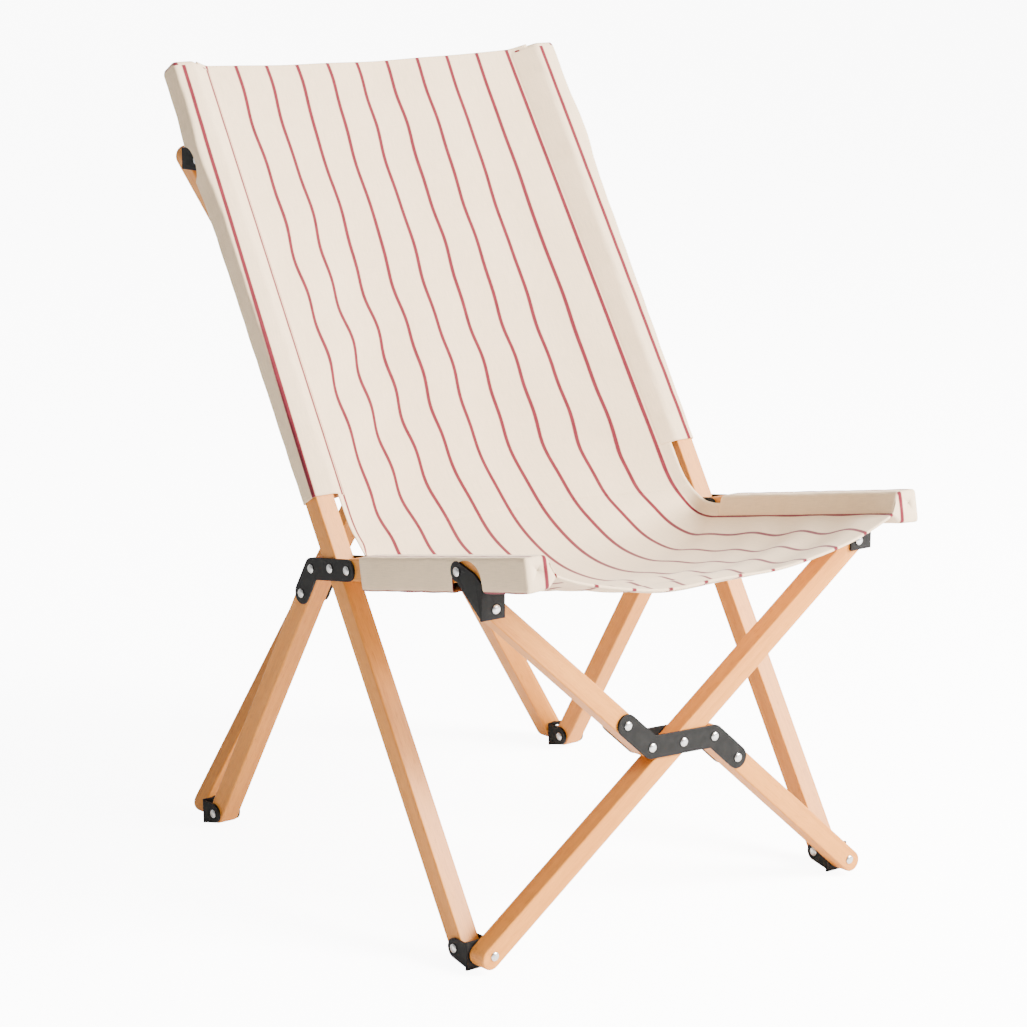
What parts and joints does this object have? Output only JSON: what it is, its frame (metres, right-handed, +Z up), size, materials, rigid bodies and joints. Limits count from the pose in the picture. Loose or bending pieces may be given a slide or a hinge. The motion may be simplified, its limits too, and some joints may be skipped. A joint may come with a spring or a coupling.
{
  "type": "folding camp chair",
  "caption": "Low folding camp chair: beech bars on riveted black steel hinges, crossed bars front and rear, and a striped canvas sling.",
  "frame": {"origin": "on the floor, under the middle of the chair's bounding box", "axes": "+Z up, -Y to the front, where the sitter's feet are, +X to the right of somebody facing the chair"},
  "size_m": [0.5712, 0.7322, 0.9056],
  "materials": {
    "beech": "clear matt lacquer over fine straight grain",
    "black_steel": "satin black powder coat",
    "bright_steel": "bright zinc-plated rivet, slightly brushed",
    "canvas": "heavy plain-woven cotton canvas"
  },
  "bodies": {
    "left_post": {"left_post": "beech", "left_back_sleeve": "canvas", "left_post_pivot_pin": "bright_steel", "left_front_foot_pin": "bright_steel", "left_top_bracket_pin": "bright_steel", "back_panel": "canvas"},
    "left_rear_leg": {"left_rear_leg": "beech", "left_outer_hinge_plate": "black_steel", "left_inner_hinge_plate": "black_steel", "left_rail_pivot_pin": "bright_steel", "left_leg_rivet_upper": "bright_steel", "left_leg_rivet_lower": "bright_steel", "left_rear_foot_pin": "bright_steel"},
    "left_seat_rail": {"left_seat_rail": "beech", "left_seat_sleeve": "canvas", "left_seat_bracket_pin": "bright_steel", "seat_panel": "canvas"},
    "left_seat_bracket": {"left_seat_bracket": "black_steel", "left_seat_cross_pin": "bright_steel"},
    "left_front_foot_bracket": {"left_front_foot_bracket": "black_steel", "left_front_foot_cross_pin": "bright_steel"},
    "left_rear_foot_bracket": {"left_rear_foot_bracket": "black_steel", "left_rear_foot_cross_pin": "bright_steel"},
    "left_top_bracket": {"left_top_bracket": "black_steel", "left_top_cross_pin": "bright_steel"},
    "right_post": {"right_post": "beech", "right_back_sleeve": "canvas", "right_post_pivot_pin": "bright_steel", "right_front_foot_pin": "bright_steel", "right_top_bracket_pin": "bright_steel"},
    "right_rear_leg": {"right_rear_leg": "beech", "right_outer_hinge_plate": "black_steel", "right_inner_hinge_plate": "black_steel", "right_rail_pivot_pin": "bright_steel", "right_leg_rivet_upper": "bright_steel", "right_leg_rivet_lower": "bright_steel", "right_rear_foot_pin": "bright_steel"},
    "right_seat_rail": {"right_seat_rail": "beech", "right_seat_sleeve": "canvas", "right_seat_bracket_pin": "bright_steel"},
    "right_seat_bracket": {"right_seat_bracket": "black_steel", "right_seat_cross_pin": "bright_steel"},
    "right_front_foot_bracket": {"right_front_foot_bracket": "black_steel", "right_front_foot_cross_pin": "bright_steel"},
    "right_rear_foot_bracket": {"right_rear_foot_bracket": "black_steel", "right_rear_foot_cross_pin": "bright_steel"},
    "right_top_bracket": {"right_top_bracket": "black_steel", "right_top_cross_pin": "bright_steel"},
    "front_cross_bar": {"front_cross_bar": "beech"},
    "front_split_bar": {"front_split_bar_upper": "beech", "front_split_bar_lower": "beech", "front_zigzag_plate_near": "black_steel", "front_zigzag_plate_far": "black_steel", "front_centre_pin": "bright_steel"},
    "rear_split_bar": {"rear_split_bar_upper": "beech", "rear_split_bar_lower": "beech", "rear_zigzag_plate_near": "black_steel", "rear_zigzag_plate_far": "black_steel", "rear_centre_pin": "bright_steel"},
    "rear_cross_bar": {"rear_cross_bar": "beech"}
  },
  "joints": [
    {"name": "left_fold", "type": "hinge", "parent": "left_post", "child": "left_rear_leg", "pos_m": [-0.2675, 0.00413, 0.386], "axis": [-1, 0, 0], "range_deg": [0, 61.86], "deforming": ["back_panel", "seat_panel", "left_back_sleeve", "right_back_sleeve", "left_seat_sleeve", "right_seat_sleeve"]},
    {"name": "left_rail_hinge", "type": "hinge", "parent": "left_rear_leg", "child": "left_seat_rail", "pos_m": [-0.2675, -0.02838, 0.39167], "axis": [-1, 0, 0], "range_deg": [0, 47.16]},
    {"name": "left_seat_bracket_hinge", "type": "hinge", "parent": "left_seat_rail", "child": "left_seat_bracket", "pos_m": [-0.2675, -0.23135, 0.44153], "axis": [-1, 0, 0], "range_deg": [-79.99, 0]},
    {"name": "left_rear_foot_hinge", "type": "hinge", "parent": "left_rear_leg", "child": "left_rear_foot_bracket", "pos_m": [-0.2675, 0.24015, 0.018], "axis": [-1, 0, 0], "range_deg": [-33.7, 0]},
    {"name": "left_front_foot_hinge", "type": "hinge", "parent": "left_post", "child": "left_front_foot_bracket", "pos_m": [-0.2675, -0.24785, 0.018], "axis": [-1, 0, 0], "range_deg": [0, 29.05]},
    {"name": "front_left_top_pivot", "type": "hinge", "parent": "left_seat_bracket", "child": "front_split_bar", "pos_m": [-0.264, -0.26135, 0.40823], "axis": [0, -0.9983, 0.0585], "range_deg": [-46.69, 0]},
    {"name": "front_centre_pivot", "type": "hinge", "parent": "front_split_bar", "child": "front_cross_bar", "pos_m": [0, -0.2727, 0.21452], "axis": [0, -0.9983, 0.0585], "range_deg": [0, 93.36]},
    {"name": "front_right_top_pivot", "type": "hinge", "parent": "front_cross_bar", "child": "right_seat_bracket", "pos_m": [0.264, -0.26135, 0.40823], "axis": [0, -0.9983, 0.0585], "range_deg": [-46.69, 0]},
    {"name": "right_seat_bracket_hinge", "type": "hinge", "parent": "right_seat_bracket", "child": "right_seat_rail", "pos_m": [0.2675, -0.23135, 0.44153], "axis": [-1, 0, 0], "range_deg": [0, 79.99]},
    {"name": "right_rail_hinge", "type": "hinge", "parent": "right_seat_rail", "child": "right_rear_leg", "pos_m": [0.2675, -0.02838, 0.39167], "axis": [-1, 0, 0], "range_deg": [-47.16, 0]},
    {"name": "right_fold", "type": "hinge", "parent": "right_rear_leg", "child": "right_post", "pos_m": [0.2675, 0.00413, 0.386], "axis": [-1, 0, 0], "range_deg": [-61.88, 0]},
    {"name": "right_rear_foot_hinge", "type": "hinge", "parent": "right_rear_leg", "child": "right_rear_foot_bracket", "pos_m": [0.2675, 0.24015, 0.018], "axis": [-1, 0, 0], "range_deg": [-33.7, 0]},
    {"name": "right_front_foot_hinge", "type": "hinge", "parent": "right_post", "child": "right_front_foot_bracket", "pos_m": [0.2675, -0.24785, 0.018], "axis": [-1, 0, 0], "range_deg": [0, 29.05]},
    {"name": "left_top_bracket_hinge", "type": "hinge", "parent": "left_post", "child": "left_top_bracket", "pos_m": [-0.2675, 0.29169, 0.80598], "axis": [-1, 0, 0], "range_deg": [0, 28.2]},
    {"name": "rear_left_top_pivot", "type": "hinge", "parent": "left_top_bracket", "child": "rear_split_bar", "pos_m": [-0.264, 0.33658, 0.80273], "axis": [0, -0.9974, 0.0722], "range_deg": [-29.11, 0]},
    {"name": "rear_centre_pivot", "type": "hinge", "parent": "rear_split_bar", "child": "rear_cross_bar", "pos_m": [0, 0.30824, 0.41143], "axis": [0, -0.9974, 0.0722], "range_deg": [0, 58.19]},
    {"name": "right_top_bracket_hinge", "type": "hinge", "parent": "right_post", "child": "right_top_bracket", "pos_m": [0.2675, 0.29169, 0.80598], "axis": [-1, 0, 0], "range_deg": [0, 28.2]}
  ],
  "couplings": [
    {"joint": "left_rail_hinge", "follows": "left_fold", "ratio": 0.76194},
    {"joint": "left_seat_bracket_hinge", "follows": "left_fold", "ratio": -1.2927},
    {"joint": "left_rear_foot_hinge", "follows": "left_fold", "ratio": -0.54442},
    {"joint": "left_front_foot_hinge", "follows": "left_fold", "ratio": 0.46927},
    {"joint": "front_left_top_pivot", "follows": "left_fold", "ratio": -0.75444},
    {"joint": "front_centre_pivot", "follows": "left_fold", "ratio": 1.5089},
    {"joint": "front_right_top_pivot", "follows": "left_fold", "ratio": -0.75444},
    {"joint": "right_seat_bracket_hinge", "follows": "left_fold", "ratio": 1.2927},
    {"joint": "right_rail_hinge", "follows": "left_fold", "ratio": -0.76194},
    {"joint": "right_fold", "follows": "left_fold", "ratio": -1},
    {"joint": "right_rear_foot_hinge", "follows": "left_fold", "ratio": -0.54442},
    {"joint": "right_front_foot_hinge", "follows": "left_fold", "ratio": 0.46927},
    {"joint": "left_top_bracket_hinge", "follows": "left_fold", "ratio": 0.45558},
    {"joint": "rear_left_top_pivot", "follows": "left_fold", "ratio": -0.47014},
    {"joint": "rear_centre_pivot", "follows": "left_fold", "ratio": 0.94029},
    {"joint": "right_top_bracket_hinge", "follows": "left_fold", "ratio": 0.45558}
  ]
}
